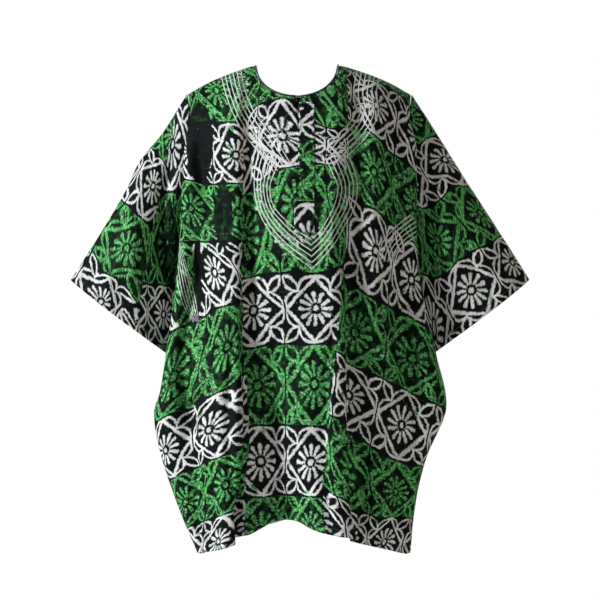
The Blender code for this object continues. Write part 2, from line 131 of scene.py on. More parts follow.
# Smaller creases: a line from a top to a bottom place, how wide, and how far out (+) or in (-).
Crease = namedtuple("Crease", "x0 z0 x1 z1 width out")
FRONT_CREASES = [
    Crease(-0.020, -0.400, -0.016, -0.892, 0.030, -0.0200),
    Crease(-0.086, -0.480, -0.084, -0.892, 0.020, 0.0080),
    Crease(-0.020, -0.480, -0.034, -0.640, 0.012, 0.0035),
    Crease(-0.101, -0.420, -0.094, -0.892, 0.009, -0.0080),
    Crease(0.080, -0.400, 0.066, -0.892, 0.010, -0.0080),
    Crease(0.088, -0.180, 0.094, -0.430, 0.011, -0.0100),
    Crease(-0.190, -0.370, -0.192, -0.700, 0.013, -0.0210),
    Crease(-0.188, -0.120, -0.133, -0.330, 0.014, -0.0100),
    Crease(-0.196, -0.200, -0.192, -0.420, 0.011, 0.0050),
    Crease(-0.182, -0.320, -0.150, -0.570, 0.014, -0.0110),
    Crease(-0.206, -0.440, -0.196, -0.640, 0.012, 0.0050),
    Crease(-0.215, -0.480, -0.150, -0.700, 0.012, 0.0045),
    Crease(-0.205, -0.560, -0.160, -0.800, 0.010, -0.0045),
    Crease(-0.140, -0.700, -0.146, -0.892, 0.009, -0.0060),
    Crease(-0.160, -0.740, -0.164, -0.892, 0.007, 0.0045),
    Crease(-0.182, -0.700, -0.172, -0.892, 0.008, -0.0055),
    Crease(0.092, -0.380, 0.128, -0.560, 0.016, -0.0060),
    Crease(0.198, -0.380, 0.218, -0.640, 0.018, -0.0160),
    Crease(0.128, -0.430, 0.216, -0.640, 0.012, 0.0045),
    Crease(0.176, -0.400, 0.248, -0.540, 0.010, 0.0040),
    Crease(0.128, -0.660, 0.120, -0.860, 0.018, -0.0150),
    Crease(0.196, -0.660, 0.188, -0.892, 0.008, -0.0050),
    Crease(0.172, -0.700, 0.172, -0.892, 0.008, 0.0045),
    Crease(0.178, -0.080, 0.186, -0.260, 0.016, -0.0090),
    Crease(0.176, -0.150, 0.166, -0.330, 0.010, 0.0035),
    Crease(-0.050, -0.770, -0.040, -0.892, 0.046, -0.0110),
    Crease(0.020, -0.520, 0.030, -0.820, 0.012, 0.0030),
    Crease(0.004, -0.330, 0.010, -0.480, 0.014, 0.0030),
    Crease(-0.070, -0.240, -0.084, -0.420, 0.012, -0.0030),
    Crease(0.060, -0.180, 0.060, -0.330, 0.012, -0.0025),
]
FRONT_COLUMNS_PER_FOLD = 11
SHOULDER_ROWS, CHEST_ROWS, SKIRT_ROWS = 34, 68, 98
RUMPLE = 0.0010  # how far the light all-over rumple stands out
RUMPLES_PER_METRE = (14, 9, 8)  # across, in height and in depth
CREASE_BOW = 0.06  # how far a crease bows aside, as a share of its length
SIDE_HOLD, TOP_HOLD = 0.10, 0.12  # shares of a panel's columns and rows that its sewn edges hold smooth


def hermite(start, end, leave, arrive, u):
    return (
        start * (2 * u**3 - 3 * u**2 + 1)
        + leave * (u**3 - 2 * u**2 + u)
        + end * (3 * u**2 - 2 * u**3)
        + arrive * (u**3 - u**2)
    )


def ease(u):
    """0 to 1 with level ends."""
    u = np.clip(u, 0.0, 1.0)
    return u * u * (3 - 2 * u)


def read(table, key, column, at):
    """The smooth values of a table's column at places on its key column, held level past both ends."""
    rows = sorted(table, key=lambda row: getattr(row, key))
    keys = np.array([getattr(row, key) for row in rows])
    values = np.array([getattr(row, column) for row in rows])
    last = len(keys) - 1
    low, high = np.maximum(np.arange(last + 1) - 1, 0), np.minimum(np.arange(last + 1) + 1, last)
    slope = (values[high] - values[low]) / (keys[high] - keys[low])
    at = np.clip(at, keys[0], keys[-1])
    i = np.clip(np.searchsorted(keys, at, side="right") - 1, 0, last - 1)
    width = keys[i + 1] - keys[i]
    return hermite(values[i], values[i + 1], slope[i] * width, slope[i + 1] * width, (at - keys[i]) / width)


def follow(points, s):
    """Places at s on smooth curves through points (..., count, axes): 0 is the first point, 1 the second."""
    step = np.linalg.norm(np.diff(points, axis=-2), axis=-1, keepdims=True).clip(1e-9)
    chord = np.diff(points, axis=-2) / step
    before, after = step[..., :-1, :], step[..., 1:, :]
    inner = (chord[..., :-1, :] * after + chord[..., 1:, :] * before) / (before + after)
    slope = np.concatenate([chord[..., :1, :], inner, chord[..., -1:, :]], axis=-2)
    i = np.clip(np.floor(s).astype(int), 0, points.shape[-2] - 2)

    def pick(values, k):
        return np.take_along_axis(values, k[..., None, None], axis=-2)[..., 0, :]

    length = pick(step, i)
    leave, arrive = pick(slope, i) * length, pick(slope, i + 1) * length
    return hermite(pick(points, i), pick(points, i + 1), leave, arrive, (s - i)[..., None])


def shoulder_height(x):
    return read(SHOULDER, "x", "z", abs(x - NECK_X * ease(1 - abs(x) / NECK_SHIFT_REACH)))


def half_width(z, x):
    return np.where(np.asarray(x) < 0, read(OUTLINE, "z", "right", z), read(OUTLINE, "z", "left", z))


def smooth_depth(face, x, z):
    out = np.minimum(1.0, abs(x) / half_width(z, x))
    return read(PROFILE, "z", face, z) * (1 - SIDE_LOSS * out**SIDE_ROUNDNESS)


def section(face, folds, z):
    """Control points (across, depth) of level sections, from the right seam round to the left seam."""
    z = np.asarray(z, float)[..., None]
    upper, lower = ease((CHEST - z) / (CHEST - HIP)), ease((HIP - z) / (HIP - HEM))

    def stated(what):
        names = [level + what for level in ("chest_", "hip_", "hem_")]
        chest, hip, hem = (np.array([getattr(fold, name) for fold in folds]) for name in names)
        return np.where(z > HIP, chest * (1 - upper) + hip * upper, hip * (1 - lower) + hem * lower)

    x = stated("x")
    fade = ease((z - shoulder_height(x)) / (CHEST - shoulder_height(x)))
    middle = np.stack([x, smooth_depth(face, x, z) + stated("out") * fade], axis=-1)
    ends = {}
    for side in (RIGHT, LEFT):
        edge = half_width(z, side)
        depth = smooth_depth(face, side * edge, z)
        seam_depth = np.where(z > UNDERARM, read(SEAM, "z", "depth", z), 0.0) + SEAM_GAP / 2
        seam_x = edge - read(SEAM, "z", "inset", z)
        across = np.concatenate([edge - TURN_INSET, edge, seam_x], axis=-1) * side
        depths = np.concatenate([depth * TURN_DEPTH, depth * EDGE_DEPTH, seam_depth], axis=-1)
        ends[side] = np.stack([across, depths], axis=-1)
    return np.concatenate([ends[RIGHT][..., ::-1, :], middle, ends[LEFT]], axis=-2)


def hem_height(folds, s):
    heights = [SIDE_HEM] * 3 + [fold.hem_z for fold in folds] + [SIDE_HEM] * 3
    points = np.stack([np.arange(len(heights)), heights], axis=-1)
    return follow(np.broadcast_to(points, (*s.shape, *points.shape)), s)[..., 1]


def shoulder_point(face, folds, s, turn):
    """Points above the foot of the shoulder; turn is 0 on the shoulder seam and 1 at the foot."""
    angle = turn * math.pi / 2
    at_foot = follow(section(face, folds, np.full(s.shape, SHOULDER_FOOT)), s)
    top = shoulder_height(follow(section(face, folds, np.full(s.shape, SHOULDER[-1].z)), s)[..., 0])
    z = top + (SHOULDER_FOOT - top) * (1 - np.cos(angle))
    across = follow(section(face, folds, z), s)[..., 0]
    depth = SEAM_GAP / 2 + (at_foot[..., 1] - SEAM_GAP / 2) * np.sin(angle) ** SHOULDER_ROUNDNESS
    return np.stack([across, -depth if face == "front" else depth, z], axis=-1)


def halve(low, high, is_past):
    """The places between low and high from which is_past holds."""
    low, high = np.array(low, float), np.array(high, float)
    for _ in range(30):
        middle = (low + high) / 2
        past = is_past(middle)
        high, low = np.where(past, middle, high), np.where(past, low, middle)
    return high


def panel_grid(face, folds, per_fold):
    """Points (column, row, xyz) of a panel's outer surface, columns from the wearer's right to the left and
    rows from the neck or shoulder edge down to the hem. Also each point's place s between the fold lines."""
    lines = len(folds) + 5
    count = lines * per_fold
    edge_x = NECK_X + np.array([RIGHT, LEFT]) * NECK_HALF_WIDTH
    edges = halve([0, 0], [lines, lines], lambda s: shoulder_point(face, folds, s, 0 * s)[..., 0] > edge_x)
    first, last = (int(round(edge * per_fold)) for edge in edges)
    last += (last - first) % 2
    below = np.arange(count + 1) / per_fold
    top_s, top_turn = np.zeros(count + 1), np.zeros(count + 1)
    top_s[: first + 1] = edges[0] * np.linspace(0, 1, first + 1)
    top_s[last:] = np.linspace(edges[1], lines, count + 1 - last)

    # round the neck
    wave, power = NECK_CROWDING
    share = np.arange(1, last - first) / (last - first)
    cosine = np.cos(math.pi * share - wave * np.sin(2 * math.pi * share))
    x = NECK_X - NECK_HALF_WIDTH * np.copysign(abs(cosine) ** power, cosine)
    out = (abs(x - NECK_X) / NECK_HALF_WIDTH) ** NECK_ROUNDNESS
    neck_z = -NECK_DROP[face] * (1 - out) ** (1 / NECK_ROUNDNESS)
    s = halve(0 * x, 0 * x + lines, lambda s: shoulder_point(face, folds, s, 0 * s + 0.5)[..., 0] > x)
    turn = halve(0 * x, 0 * x + 1, lambda turn: shoulder_point(face, folds, s, turn)[..., 2] < neck_z)
    top_s[first + 1 : last], top_turn[first + 1 : last] = s, turn

    share = np.linspace(0, 1, SHOULDER_ROWS + 1)
    s = top_s[:, None] + (below - top_s)[:, None] * ease(share)
    shoulder = shoulder_point(face, folds, s, top_turn[:, None] + (1 - top_turn)[:, None] * share)
    hem = hem_height(folds, below)[:, None]
    chest = SHOULDER_FOOT + (UNDERARM - SHOULDER_FOOT) * np.arange(1, CHEST_ROWS + 1) / CHEST_ROWS
    skirt = UNDERARM + (hem - UNDERARM) * np.arange(1, SKIRT_ROWS + 1) / SKIRT_ROWS
    z = np.concatenate([np.broadcast_to(chest, (count + 1, CHEST_ROWS)), skirt], axis=1)
    drape_s = np.broadcast_to(below[:, None], z.shape)
    level = follow(section(face, folds, z), drape_s)
    drape = np.stack([level[..., 0], level[..., 1] * (-1 if face == "front" else 1), z], axis=-1)
    return np.concatenate([shoulder, drape], axis=1), np.concatenate([s, drape_s], axis=1)


def facing(grid, outward):
    """The direction that each point of a grid faces. outward is 1 where columns run to the right as seen from
    outside, or -1."""
    normal = np.cross(np.gradient(grid, axis=0), np.gradient(grid, axis=1)) * -outward
    return normal / np.linalg.norm(normal, axis=-1, keepdims=True).clip(1e-12)


def beside(x, z, x0, z0, x1, z1):
    """Where places lie by a straight line: what share of the way along it, and how far aside of it."""
    run, drop = x1 - x0, z1 - z0
    length = math.hypot(run, drop)
    return ((x - x0) * run + (z - z0) * drop) / length**2, ((x - x0) * drop - (z - z0) * run) / length


def crumple(grid, creases, outward, seed):
    """Presses the creases and a light rumple into a panel, fading to nothing at its sewn edges."""
    x, z = grid[..., 0], grid[..., 2]
    push = np.zeros(x.shape)
    for c in creases:
        along, aside = beside(x, z, c.x0, c.z0, c.x1, c.z1)
        length = math.hypot(c.x1 - c.x0, c.z1 - c.z0)
        bow = CREASE_BOW * length * np.sin(math.pi * np.clip(along, 0, 1))
        if c.z1 < HEM:
            taper = ease(along / 0.4)  # at its top alone, since it runs out at the hem
        else:
            taper = ease(along / 0.35 + 0.2) * ease((1 - along) / 0.35 + 0.2)
        push += c.out * taper * np.exp(-(((aside - bow) / c.width) ** 2))
    across, high, deep = RUMPLES_PER_METRE
    for k in np.ndindex(x.shape):
        place = Vector((x[k] * across + seed, z[k] * high, grid[k][1] * deep))
        push[k] += RUMPLE * (noise.noise(place) * 1.6 + noise.noise(place * 2.7) * 0.7)
    columns, rows = x.shape
    from_side = np.minimum(np.arange(columns), np.arange(columns)[::-1]) / columns
    from_top = np.arange(rows) / rows
    hold = ease(from_side / SIDE_HOLD)[:, None] * ease(from_top / TOP_HOLD)[None]
    return grid + facing(grid, outward) * (push * hold)[..., None]


front_grid, front_s = panel_grid("front", FRONT_FOLDS, FRONT_COLUMNS_PER_FOLD)
front_grid = crumple(front_grid, FRONT_CREASES, 1, seed=3.0)

# The printed tiles. Each entry gives a tile's column and row in the print, then the place at which the middle
# of that tile shows from in front. The three parts lie either side of the two long folds, which hide cloth.
TILE_WIDTH, TILE_HEIGHT = 0.115, 0.142
CAMERA = (0.0018, -3.5, -0.433)
Tile = namedtuple("Tile", "column row x z")
FRONT_TILES = {
    "right": [
        Tile(-1, -1, -0.152, -0.044),
        Tile(-1, 0, -0.117, -0.168),
        Tile(-1.5, 0, -0.161, -0.168),
        Tile(-2, 0, -0.200, -0.160),
        Tile(-1.5, 1, -0.155, -0.270),
        Tile(-1.5, 2, -0.116, -0.378),
        Tile(-2, 1, -0.200, -0.263),
        Tile(-2, 2, -0.157, -0.381),
        Tile(-2, 3, -0.133, -0.518),
        Tile(-3, 3, -0.233, -0.577),
        Tile(-2, 4, -0.166, -0.672),
        Tile(-3, 4, -0.246, -0.709),
        Tile(-2, 5, -0.134, -0.776),
        Tile(-3, 5, -0.209, -0.807),
        Tile(-2, 6, -0.150, -0.880),
    ],
    "centre": [
        Tile(-1, -1, -0.152, -0.044),
        Tile(-1, 0, -0.117, -0.168),
        Tile(1, -1, 0.072, -0.030),
        Tile(0.5, -0.5, 0.052, -0.114),
        Tile(0.5, 0, 0.052, -0.148),
        Tile(0.5, 0.5, 0.048, -0.184),
        Tile(1, 0, 0.100, -0.150),
        Tile(-1, 0.5, -0.104, -0.243),
        Tile(-1, 1, -0.102, -0.316),
        Tile(-1, 1.5, -0.086, -0.388),
        Tile(-1, 2, -0.083, -0.453),
        Tile(-1, 2.5, -0.083, -0.520),
        Tile(-1, 3, -0.076, -0.592),
        Tile(-1, 3.5, -0.072, -0.665),
        Tile(-1, 4, -0.069, -0.733),
        Tile(-1, 4.5, -0.068, -0.798),
        Tile(-1, 5, -0.068, -0.866),
        Tile(0, -0.5, -0.031, -0.058),
        Tile(0, 0, -0.031, -0.129),
        Tile(0, 0.5, -0.016, -0.186),
        Tile(0, 1, -0.004, -0.250),
        Tile(0, 1.5, 0.031, -0.383),
        Tile(0, 2, 0.031, -0.449),
        Tile(0, 2.5, 0.031, -0.517),
        Tile(0, 3, 0.029, -0.591),
        Tile(0, 3.5, 0.024, -0.666),
        Tile(0, 4, 0.020, -0.731),
        Tile(0, 4.5, 0.020, -0.797),
        Tile(0, 5, 0.020, -0.866),
    ],
    "left": [
        Tile(1, 0, 0.143, -0.074),
        Tile(1, 1, 0.137, -0.196),
        Tile(1, 2, 0.141, -0.340),
        Tile(1, 3, 0.102, -0.492),
        Tile(1, 4, 0.094, -0.607),
        Tile(1, 5, 0.091, -0.747),
        Tile(1, 6, 0.085, -0.877),
        Tile(2, 0, 0.216, -0.137),
        Tile(2, 2, 0.207, -0.394),
        Tile(2, 3, 0.212, -0.540),
        Tile(2, 4, 0.187, -0.664),
        Tile(2, 5, 0.179, -0.790),
        Tile(2, 6, 0.157, -0.880),
    ],
}
# The two long folds: each one's place across, counted in fold lines, and how far the edge of the print runs
# aside from that line at four heights.
FRONT_CUTS = (6.75, 13.6)
CUT_HEIGHTS = (-0.81, -0.66, -0.54, -0.38)
CUT_DRIFT = ((0.026, 0.010, 0.008, 0.0), (-0.048, -0.032, -0.020, 0.0))
CUT_ROOM = 28  # columns beside a fold over which the edge can run
CUT_OVERLAP = (8, 4)  # columns by which the centre and the left part reach back under their neighbours
CLOTH_LEVELS, CLOTH_MARKS = 60, 8  # levels at which cloth is measured, and places on each between fold lines
SOFTNESS = 0.005  # lets the print miss its stated places a little, rather than bend hard
BAND_STEPS = 48  # straight pieces along a band of lines


def run_along(points, axis):
    """How far along its row or column each point lies, from the first one."""
    steps = np.linalg.norm(np.diff(points, axis=axis), axis=-1)
    return np.cumsum(np.insert(steps, 0, 0.0, axis=axis), axis=axis)


def cloth_places(grid, s, face, folds):
    """Where each point of a panel lies on the flat cloth, in metres: across from the middle, and down."""
    levels = np.linspace(-0.93, -0.001, CLOTH_LEVELS)  # from below the hem to the top of the shoulders
    marks = np.arange((len(folds) + 5) * CLOTH_MARKS + 1) / CLOTH_MARKS
    z, mark = np.meshgrid(levels, marks, indexing="ij")
    line = follow(section(face, folds, z), mark)
    across = run_along(line, 1)
    middle = np.argmin(abs(line[..., 0] - SLIT_X), axis=1)
    across -= across[np.arange(len(levels)), middle][:, None]
    row = np.clip(np.interp(grid[..., 2], levels, np.arange(len(levels))), 0, len(levels) - 1.001)
    column = np.clip(s * CLOTH_MARKS, 0, len(marks) - 1.001)
    i, j = row.astype(int), column.astype(int)
    u, v = row - i, column - j
    upper = across[i, j] * (1 - v) + across[i, j + 1] * v
    lower = across[i + 1, j] * (1 - v) + across[i + 1, j + 1] * v
    down = run_along(grid, 1)
    return np.stack([upper * (1 - u) + lower * u, down - down[:, [SHOULDER_ROWS]]], axis=-1)


def above_hem_stitching(cloth):
    """How far each point of a panel is above the row of stitches that holds its hem."""
    return cloth[:, [-1], 1] - cloth[..., 1] - HEM_FOLD


def spread(tiles, known, at):
    """Carries the tiles' columns and rows smoothly from known places to others, as a bent plate would."""

    def bend(distance):
        return distance**2 * np.log(distance + 1e-9)

    known, at = np.asarray(known) * 10, at * 10  # in decimetres, where the bending is about 1
    count = len(known)
    flat = np.column_stack([np.ones(count), known])
    bends = bend(np.linalg.norm(known[:, None] - known[None], axis=-1)) + SOFTNESS * np.eye(count)
    left = np.block([[bends, flat], [flat.T, np.zeros((3, 3))]])
    right = np.vstack([[(tile.column, tile.row) for tile in tiles], np.zeros((3, 2))])
    solved = np.linalg.solve(left, right)
    weights = bend(np.linalg.norm(at[..., None, :] - known, axis=-1))
    return weights @ solved[:count] + solved[count] + at @ solved[count + 1 :]


def as_seen(grid):
    """Across and height at which points show to the camera, on the level of the side seams."""
    nearer = CAMERA[1] / (CAMERA[1] - grid[..., 1])
    across, up = (CAMERA[k] + (grid[..., k] - CAMERA[k]) * nearer for k in (0, 2))
    return across, up


def tile_places(grid, cloth, tiles, first, last):
    """The print's (column, row) at each point of a panel, from the tiles named between two of its columns."""
    part_cloth = cloth[first:last]
    x, z = as_seen(grid[first:last])
    known = []
    for tile in tiles:
        away = (x - tile.x) ** 2 + (z - tile.z) ** 2
        known.append(part_cloth[np.unravel_index(np.argmin(away), away.shape)])
    return spread(tiles, known, cloth)


# The lines drawn with a wax pen round the neckline: bands of lines, each a middle line with its half width.
Line = namedtuple("Line", "x z half")
NECK_BANDS = {
    "shoulder_lines": [
        [
            Line(-0.126, -0.012, 0.019),
            Line(-0.120, -0.040, 0.018),
            Line(-0.106, -0.080, 0.018),
            Line(-0.082, -0.120, 0.019),
            Line(-0.056, -0.152, 0.019),
            Line(-0.030, -0.190, 0.017),
        ],
        [
            Line(0.128, -0.012, 0.021),
            Line(0.122, -0.050, 0.021),
            Line(0.126, -0.086, 0.020),
            Line(0.109, -0.118, 0.020),
            Line(0.084, -0.144, 0.020),
            Line(0.062, -0.168, 0.018),
        ],
    ],
    "ring_lines_right": [
        [
            Line(-0.052, -0.160, 0.021),
            Line(-0.061, -0.184, 0.019),
            Line(-0.068, -0.216, 0.015),
            Line(-0.067, -0.242, 0.014),
            Line(-0.059, -0.268, 0.015),
            Line(-0.041, -0.294, 0.018),
            Line(-0.015, -0.320, 0.020),
            Line(0.023, -0.347, 0.022),
            Line(0.057, -0.372, 0.022),
        ]
    ],
    "ring_lines_left": [
        [
            Line(0.066, -0.160, 0.020),
            Line(0.076, -0.181, 0.020),
            Line(0.090, -0.224, 0.018),
            Line(0.084, -0.259, 0.018),
            Line(0.070, -0.287, 0.017),
            Line(0.052, -0.317, 0.018),
            Line(0.023, -0.347, 0.021),
            Line(-0.011, -0.376, 0.021),
        ]
    ],
    "side_lines": [
        [
            Line(0.160, -0.364, 0.016),
            Line(0.168, -0.338, 0.017),
            Line(0.190, -0.312, 0.018),
            Line(0.220, -0.290, 0.020),
        ],
        [
            Line(-0.224, -0.322, 0.003),
            Line(-0.219, -0.365, 0.009),
            Line(-0.210, -0.410, 0.013),
            Line(-0.199, -0.450, 0.010),
            Line(-0.190, -0.475, 0.004),
        ],
    ],
}
PEN_LINES = 6  # in each band
RING_POINT_X = 0.0231  # the bands from both sides meet in a point below the slit
FAR = 9.0  # stands for far outside a band
Patch = namedtuple("Patch", "x z width height")  # an oval, with its half sizes
# Ovals where the print's ink is taken out, down to the dark ground. The one at x -0.140 is painted shade: it
# fills a shaded band right of the fold's ridge. The other two stand for spots that the printing block missed.
BARE_AND_SHADE_PATCHES = [
    Patch(-0.184, -0.142, 0.017, 0.052),
    Patch(-0.187, -0.390, 0.004, 0.050),
    Patch(-0.140, -0.277, 0.012, 0.040),
]
GREEN_PATCH = Patch(-0.213, -0.402, 0.024, 0.082)  # where the green row runs on under the side lines
# Places where wax ran between the lines.
SMEARS = [
    Patch(-0.015, -0.322, 0.028, 0.016),
    Patch(0.035, -0.307, 0.022, 0.012),
    Patch(-0.076, -0.249, 0.008, 0.024),
    Patch(-0.064, -0.126, 0.028, 0.026),
    Patch(0.124, -0.074, 0.026, 0.015),
    Patch(0.058, -0.156, 0.030, 0.024),
    Patch(-0.106, -0.045, 0.012, 0.040),
]


def band_place(x, z, bands):
    """Place across the nearest of some bands of lines: 0 on its middle, 1 and -1 on its outer lines, more
    than that outside it, and FAR past its ends."""
    place, nearest = np.full(x.shape, FAR), np.full(x.shape, FAR)
    for band in bands:
        control = np.array(band)
        at = np.linspace(0, len(band) - 1, BAND_STEPS + 1)
        line = follow(np.broadcast_to(control, (len(at), *control.shape)), at)
        for k, ((x0, z0, half), (x1, z1, _)) in enumerate(zip(line, line[1:])):
            along, aside = beside(x, z, x0, z0, x1, z1)
            on = np.clip(along, 0, 1)
            away = np.hypot(x - x0 - on * (x1 - x0), z - z0 - on * (z1 - z0))
            value = away / half * np.where(aside < 0, -1, 1)
            past = ((k == 0) & (along < 0)) | ((k == len(line) - 2) & (along > 1))
            place = np.where(away < nearest, np.where(past, FAR, value), place)
            nearest = np.minimum(away, nearest)
    return place


def face_middles(values):
    return (values[1:, 1:] + values[:-1, :-1]) / 2


def from_patch(patch, x, z):
    """How far places are from the middle of a patch, where 1 is on its edge."""
    return np.hypot((x - patch.x) / patch.width, (z - patch.z) / patch.height)


def soft_patch(patch, x, z):
    """1 inside a patch, fading to 0 round it."""
    return ease(3 - 2 * from_patch(patch, x, z))


def add(name, data):
    thing = bpy.data.objects.new(name, data)
    bpy.context.scene.collection.objects.link(thing)
    return thing


def write(layer, key, values):
    layer.data.foreach_set(key, values.ravel().astype(np.float32))


class Wire:
    """A number in a material, so that the print's shapes can be written as sums."""

    def __init__(self, socket):
        self.socket = socket

    def math(self, operation, *others, clamp=False):
        node = self.socket.node.id_data.nodes.new("ShaderNodeMath")
        node.operation = operation
        node.use_clamp = clamp
        for place, value in zip(node.inputs, (self, *others)):
            if isinstance(value, Wire):
                node.id_data.links.new(value.socket, place)
            else:
                place.default_value = value
        return Wire(node.outputs[0])

    def __add__(self, other):
        return self.math("ADD", other)

    def __sub__(self, other):
        return self.math("SUBTRACT", other)

    def __mul__(self, other):
        return self.math("MULTIPLY", other)

    def __truediv__(self, other):
        return self.math("DIVIDE", other)

    def __rsub__(self, other):
        return -self + other

    def __neg__(self):
        return self * -1

    def __abs__(self):
        return self.math("ABSOLUTE")

    __radd__, __rmul__ = __add__, __mul__

    def least(self, other):
        return self.math("MINIMUM", other)

    def most(self, other):
        return self.math("MAXIMUM", other)

    def nearest(self):
        return self.math("ROUND")

    def fade(self, low, high):
        """0 below low, 1 above high, even in between; also the other way round."""
        return ((self - low) / (high - low)).math("ADD", 0.0, clamp=True)


class Finish:
    """A material in the making. Its patterns lie on the cloth map of the pieces that have it."""

    def __init__(self, name):
        self.material = bpy.data.materials.new(name)
        self.material.use_nodes = True
        self.shader = self.material.node_tree.nodes["Principled BSDF"]

    def feed(self, node, **values):
        """Sets a node's inputs, named with _ for a space, to values, or joins them to outputs."""
        for name, value in values.items():
            place = node.inputs[name.replace("_", " ")]
            if isinstance(value, Wire):
                value = value.socket
            if isinstance(value, bpy.types.NodeSocket):
                self.material.node_tree.links.new(value, place)
            else:
                place.default_value = value

    def make(self, kind, **settings):
        node = self.material.node_tree.nodes.new(kind)
        for name, value in settings.items():
            setattr(node, name, value)
        return node

    def mapped(self, layer):
        return self.make("ShaderNodeUVMap", uv_map=layer).outputs["UV"]

    def split(self, vector):
        node = self.make("ShaderNodeSeparateXYZ")
        self.feed(node, Vector=vector)
        return Wire(node.outputs["X"]), Wire(node.outputs["Y"])

    def flecks(self, scale, detail=2.0, roughness=0.5, shift=0.0):
        """Noise laid on the flat cloth, from 0 to 1 and about 0.5 on average."""
        moved = self.make("ShaderNodeVectorMath", operation="ADD")
        self.feed(moved, Vector=self.mapped("cloth"))
        moved.inputs[1].default_value = (shift, shift * 0.7, 0)
        node = self.make("ShaderNodeTexNoise", noise_dimensions="2D")
        self.feed(node, Vector=moved.outputs[0], Scale=scale, Detail=detail, Roughness=roughness)
        return Wire(node.outputs["Fac"])

    def drawn(self, key):
        return Wire(self.make("ShaderNodeAttribute", attribute_name=key).outputs["Fac"])

    def blend(self, share, first, second):
        node = self.make("ShaderNodeMix", data_type="RGBA")
        self.feed(node, Factor=share)
        for place, value in ((node.inputs[6], first), (node.inputs[7], second)):
            if isinstance(value, tuple):
                place.default_value = (*value, 1)
            else:
                self.material.node_tree.links.new(value, place)
        return node.outputs[2]

    def relief(self, height, metres):
        bump = self.make("ShaderNodeBump")
        self.feed(bump, Strength=1.0, Distance=metres, Height=height)
        self.feed(self.shader, Normal=bump.outputs[0])


# The tile's drawing, in half tiles from its middle. Each part gives how deep inside its wax line a point is.
DIAGONAL = 0.707  # turns a sum of two places into a length across the diamond's side


def flower(x, y):
    """Twelve petals round a dot, each a stem that widens outwards to a round end."""
    petals, start, tip = 12, 0.19, 0.51
    angle = y.math("ARCTAN2", x) * (petals / 2 / math.pi)
    turn = (angle - angle.nearest()) * (2 * math.pi / petals)
    reach = (x * x + y * y).math("SQRT")
    out, aside = reach * turn.math("COSINE"), reach * abs(turn.math("SINE"))
    stem = (out * 0.092 + 0.016 - aside).least(tip - out).least((out - start) * 0.8)
    end = 0.063 - ((out - tip) * (out - tip) + aside * aside).math("SQRT")
    return stem.most(end).most(0.090 - reach)


def corner_leaf(x, y):
    """A pointed leaf from the diamond's side out to the tile's corner, and how deep inside the leaf it is."""
    along, aside = (x + y - 1.10) / 0.92, abs(x - y) * DIAGONAL
    edge = along * (1 - along) * 0.56
    line = (0.040 - abs(edge - aside)).least(along * 0.64 + 0.03).least((1.05 - along) * 0.64)
    return line, edge - aside


def side_leaf(far, near, outward):
    """A bent leaf along the outside of the diamond's side, and how deep inside the leaf it is."""
    along = far - near
    edge = (1 - along) * (along * 0.74 + 0.09)
    half_line = (along - 0.45) * (along - 0.45) * 0.085 + 0.036
    return half_line - abs(edge - outward), (edge - outward).least(outward)


def wax_lines(cotton, across, down, is_green):
    """The whole drawing of a tile. It stays a little inside the tile's edges and has rough lines, and in the
    green rows its leaves are partly filled."""
    x, y = across / 0.955, down / (is_green * 0.07 + 0.92)
    far, near = x.most(y), x.least(y)
    outward = (x + y - 1) * DIAGONAL
    diamond = 0.054 - abs(outward)
    corner, in_corner = corner_leaf(x, y)
    side, in_side = side_leaf(far, near, outward)
    knob = (0.030 - abs(far - 0.985)).least(0.20 - near)
    depth = diamond.most(flower(x, y)).most(corner).most(side).most(knob)
    depth = depth.least((0.972 - across) * 4).least((0.982 - down) * 4)
    rough = (cotton.flecks(340, 3.0, 0.70) - 0.5) * 0.110 + (cotton.flecks(120, 2.0, shift=5) - 0.5) * 0.070
    depth = depth + rough * (is_green * 0.35 + 1) + is_green * 0.003 + 0.002
    fill = in_corner.most(in_side).least(0.06) + (cotton.flecks(48, 3.0, 0.6, shift=11) - 0.66) * 0.7
    return depth.most(fill.least(0.03) + (is_green - 1) * FAR)


def pen_band(cotton, key):
    """How deep inside a line of a band a point is, in steps between its lines."""
    place = cotton.drawn(key)
    step = (place + 1) * ((PEN_LINES - 1) / 2)
    line = (0.135 - abs(step - step.nearest())).least(1.06 - abs(place))
    return line + (cotton.flecks(240, 2.0, shift=13) - 0.5) * 0.17


def pen_lines(cotton):
    """Where the lines drawn by hand show. The two bands of the ring stop where they meet."""
    across, _ = cotton.split(cotton.make("ShaderNodeTexCoord").outputs["Object"])
    past_point = (across - RING_POINT_X).fade(-0.0004, 0.0004)
    ring_right = pen_band(cotton, "ring_lines_right") - past_point * FAR
    ring_left = pen_band(cotton, "ring_lines_left") - (1 - past_point) * FAR
    lines = pen_band(cotton, "shoulder_lines").most(pen_band(cotton, "side_lines"))
    return lines.most(ring_right.most(ring_left)).fade(-0.02, 0.06) * cotton.drawn("has_lines")


WHITE, GREEN, PALE_GREEN = (0.60, 0.60, 0.59), (0.048, 0.312, 0.060), (0.200, 0.490, 0.220)
GROUND, THREAD = (0.0020, 0.0030, 0.0032), (0.05, 0.07, 0.05)
STITCH_LENGTH, STITCH_HALF_WIDTH = 0.0032, 0.0006
WEAVE_REPEAT = 0.0010  # two threads of the plain weave


def darker(colour, share):
    return tuple(share * part for part in colour)


